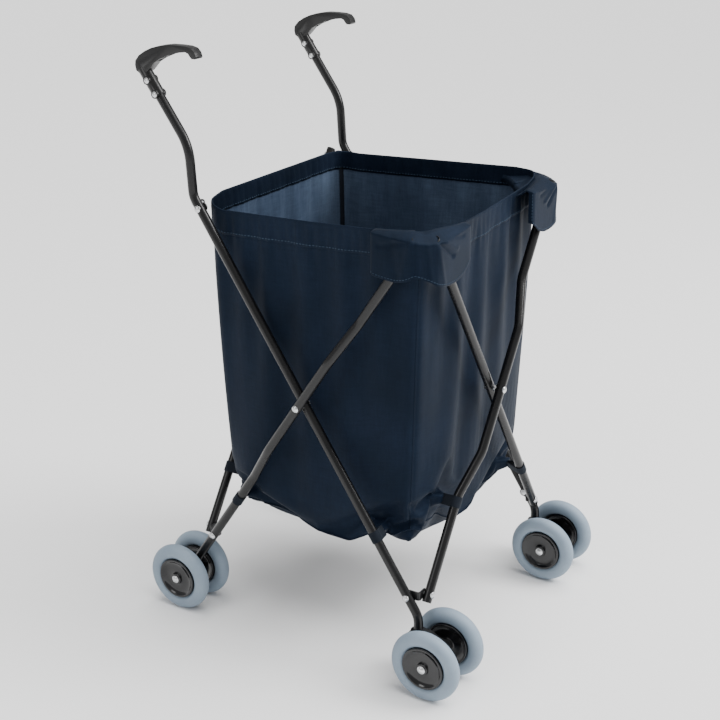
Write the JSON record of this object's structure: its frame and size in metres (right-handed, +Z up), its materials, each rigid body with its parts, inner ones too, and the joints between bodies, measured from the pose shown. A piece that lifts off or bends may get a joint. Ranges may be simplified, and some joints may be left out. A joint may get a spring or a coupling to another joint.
{
  "type": "shopping trolley on wheels",
  "caption": "Folding four-corner trolley: crossed tube frame, open fabric bag, raised hand grips, twin swivel casters and twin rear wheels.",
  "frame": {"origin": "on the ground, at the centre of the whole trolley's footprint", "axes": "+Z up; the swivel casters are towards -Y and the hand grips towards +Y; +X is to the right when looking along +Y"},
  "size_m": [0.5766, 0.6483, 1.025],
  "materials": {
    "tube": "satin",
    "rivet": "polished",
    "bracket": "satin",
    "grip": "satin",
    "moulding": "satin",
    "tyre": "matte",
    "hub": "gloss",
    "bag": "woven",
    "base": "coated"
  },
  "bodies": {
    "top_fl": {"bracket_top_fl": "bracket", "bag_left": "bag", "bag_front": "bag", "pocket_fl": "bag"},
    "left_axle_tube": {"tube_left_axle": "tube", "rivets_left_axle": "rivet", "axle_rear_left": "rivet"},
    "left_handle_tube": {"tube_left_handle": "tube", "rivets_left_handle": "rivet", "grip_left": "grip", "collar_left": "moulding"},
    "top_rl": {"bracket_top_rl": "bracket", "bag_rear": "bag"},
    "rear_tube_rl": {"tube_rear_right": "tube", "rivets_rear_right": "rivet"},
    "rear_tube_rr": {"tube_rear_left": "tube", "rivets_rear_left": "rivet"},
    "front_tube_fl": {"tube_front_right": "tube", "rivets_front_right": "rivet"},
    "front_tube_fr": {"tube_front_left": "tube", "rivets_front_left": "rivet"},
    "top_fr": {"bracket_top_fr": "bracket", "bag_right": "bag", "pocket_fr": "bag"},
    "right_axle_tube": {"tube_right_axle": "tube", "rivets_right_axle": "rivet", "axle_rear_right": "rivet"},
    "right_handle_tube": {"tube_right_handle": "tube", "rivets_right_handle": "rivet", "grip_right": "grip", "collar_right": "moulding"},
    "top_rr": {"bracket_top_rr": "bracket"},
    "low_fl": {"bracket_low_fl": "bracket"},
    "low_rl": {"bracket_low_rl": "bracket"},
    "low_fr": {"bracket_low_fr": "bracket"},
    "low_rr": {"bracket_low_rr": "bracket"},
    "base": {"bag_base": "base"},
    "caster_left": {"caster_left": "moulding", "axle_front_left": "rivet"},
    "caster_right": {"caster_right": "moulding", "axle_front_right": "rivet"},
    "wheel_fl_out": {"tyre_fl_out": "tyre", "hub_fl_out": "hub"},
    "wheel_fl_in": {"tyre_fl_in": "tyre", "hub_fl_in": "hub"},
    "wheel_fr_out": {"tyre_fr_out": "tyre", "hub_fr_out": "hub"},
    "wheel_fr_in": {"tyre_fr_in": "tyre", "hub_fr_in": "hub"},
    "wheel_rl_out": {"tyre_rl_out": "tyre", "hub_rl_out": "hub"},
    "wheel_rl_in": {"tyre_rl_in": "tyre", "hub_rl_in": "hub"},
    "wheel_rr_out": {"tyre_rr_out": "tyre", "hub_rr_out": "hub"},
    "wheel_rr_in": {"tyre_rr_in": "tyre", "hub_rr_in": "hub"}
  },
  "joints": [
    {"name": "fold", "type": "hinge", "parent": "left_axle_tube", "child": "top_fl", "pos_m": [-0.228, -0.202, 0.7615], "axis": [1, 0, 0], "range_deg": [0, 21], "deforming": ["bag_left", "bag_right", "bag_front", "bag_rear", "bag_base"]},
    {"name": "left_cross", "type": "hinge", "parent": "left_handle_tube", "child": "left_axle_tube", "pos_m": [-0.248, 0, 0.457], "axis": [-1, 0, 0], "range_deg": [0, 42]},
    {"name": "left_rear_top", "type": "hinge", "parent": "left_handle_tube", "child": "top_rl", "pos_m": [-0.228, 0.202, 0.7615], "axis": [-1, 0, 0], "range_deg": [0, 21]},
    {"name": "left_rear_low", "type": "hinge", "parent": "left_axle_tube", "child": "low_rl", "pos_m": [-0.228, 0.202, 0.1525], "axis": [1, 0, 0], "range_deg": [0, 21]},
    {"name": "left_front_low", "type": "hinge", "parent": "low_fl", "child": "left_handle_tube", "pos_m": [-0.228, -0.202, 0.1525], "axis": [1, 0, 0], "range_deg": [0, 21]},
    {"name": "rear_top", "type": "hinge", "parent": "top_rl", "child": "rear_tube_rl", "pos_m": [-0.202, 0.228, 0.7615], "axis": [0, 1, 0], "range_deg": [0, 21]},
    {"name": "rear_cross", "type": "hinge", "parent": "rear_tube_rl", "child": "rear_tube_rr", "pos_m": [0, 0.228, 0.457], "axis": [0, -1, 0], "range_deg": [0, 42]},
    {"name": "front_top", "type": "hinge", "parent": "top_fl", "child": "front_tube_fl", "pos_m": [-0.202, -0.228, 0.7615], "axis": [0, 1, 0], "range_deg": [0, 21]},
    {"name": "front_cross", "type": "hinge", "parent": "front_tube_fl", "child": "front_tube_fr", "pos_m": [0, -0.228, 0.457], "axis": [0, -1, 0], "range_deg": [0, 42]},
    {"name": "front_right_top", "type": "hinge", "parent": "front_tube_fr", "child": "top_fr", "pos_m": [0.202, -0.228, 0.7615], "axis": [0, 1, 0], "range_deg": [0, 21]},
    {"name": "right_front_top", "type": "hinge", "parent": "top_fr", "child": "right_axle_tube", "pos_m": [0.228, -0.202, 0.7615], "axis": [-1, 0, 0], "range_deg": [0, 21]},
    {"name": "right_cross", "type": "hinge", "parent": "right_axle_tube", "child": "right_handle_tube", "pos_m": [0.248, 0, 0.457], "axis": [1, 0, 0], "range_deg": [0, 42]},
    {"name": "right_rear_top", "type": "hinge", "parent": "right_handle_tube", "child": "top_rr", "pos_m": [0.228, 0.202, 0.7615], "axis": [-1, 0, 0], "range_deg": [0, 21]},
    {"name": "right_rear_low", "type": "hinge", "parent": "right_axle_tube", "child": "low_rr", "pos_m": [0.228, 0.202, 0.1525], "axis": [1, 0, 0], "range_deg": [0, 21]},
    {"name": "right_front_low", "type": "hinge", "parent": "right_handle_tube", "child": "low_fr", "pos_m": [0.228, -0.202, 0.1525], "axis": [-1, 0, 0], "range_deg": [0, 21]},
    {"name": "base_lift", "type": "hinge", "parent": "top_fl", "child": "base", "pos_m": [-0.1851, 0, 0.235], "axis": [0, -1, 0], "range_deg": [0, 89.25]},
    {"name": "swivel_left", "type": "hinge", "parent": "left_handle_tube", "child": "caster_left", "pos_m": [-0.228, -0.22356, 0.1], "axis": [0, 0, 1], "continuous": true},
    {"name": "swivel_right", "type": "hinge", "parent": "right_handle_tube", "child": "caster_right", "pos_m": [0.228, -0.22356, 0.1], "axis": [0, 0, 1], "continuous": true},
    {"name": "spin_fl_out", "type": "hinge", "parent": "caster_left", "child": "wheel_fl_out", "pos_m": [-0.2705, -0.26166, 0.0625], "axis": [1, 0, 0], "continuous": true},
    {"name": "spin_fl_in", "type": "hinge", "parent": "caster_left", "child": "wheel_fl_in", "pos_m": [-0.1855, -0.26166, 0.0625], "axis": [1, 0, 0], "continuous": true},
    {"name": "spin_fr_out", "type": "hinge", "parent": "caster_right", "child": "wheel_fr_out", "pos_m": [0.2705, -0.26166, 0.0625], "axis": [1, 0, 0], "continuous": true},
    {"name": "spin_fr_in", "type": "hinge", "parent": "caster_right", "child": "wheel_fr_in", "pos_m": [0.1855, -0.26166, 0.0625], "axis": [1, 0, 0], "continuous": true},
    {"name": "spin_rl_out", "type": "hinge", "parent": "left_axle_tube", "child": "wheel_rl_out", "pos_m": [-0.2585, 0.2617, 0.0625], "axis": [1, 0, 0], "continuous": true},
    {"name": "spin_rl_in", "type": "hinge", "parent": "left_axle_tube", "child": "wheel_rl_in", "pos_m": [-0.1975, 0.2617, 0.0625], "axis": [1, 0, 0], "continuous": true},
    {"name": "spin_rr_out", "type": "hinge", "parent": "right_axle_tube", "child": "wheel_rr_out", "pos_m": [0.2585, 0.2617, 0.0625], "axis": [1, 0, 0], "continuous": true},
    {"name": "spin_rr_in", "type": "hinge", "parent": "right_axle_tube", "child": "wheel_rr_in", "pos_m": [0.1975, 0.2617, 0.0625], "axis": [1, 0, 0], "continuous": true}
  ],
  "couplings": [
    {"joint": "left_cross", "follows": "fold", "ratio": 2},
    {"joint": "left_rear_top", "follows": "fold", "ratio": 1},
    {"joint": "left_rear_low", "follows": "fold", "ratio": 1},
    {"joint": "left_front_low", "follows": "fold", "ratio": 1},
    {"joint": "rear_top", "follows": "fold", "ratio": 1},
    {"joint": "rear_cross", "follows": "fold", "ratio": 2},
    {"joint": "front_top", "follows": "fold", "ratio": 1},
    {"joint": "front_cross", "follows": "fold", "ratio": 2},
    {"joint": "front_right_top", "follows": "fold", "ratio": 1},
    {"joint": "right_front_top", "follows": "fold", "ratio": 1},
    {"joint": "right_cross", "follows": "fold", "ratio": 2},
    {"joint": "right_rear_top", "follows": "fold", "ratio": 1},
    {"joint": "right_rear_low", "follows": "fold", "ratio": 1},
    {"joint": "right_front_low", "follows": "fold", "ratio": 1},
    {"joint": "base_lift", "follows": "fold", "ratio": 4.25}
  ]
}
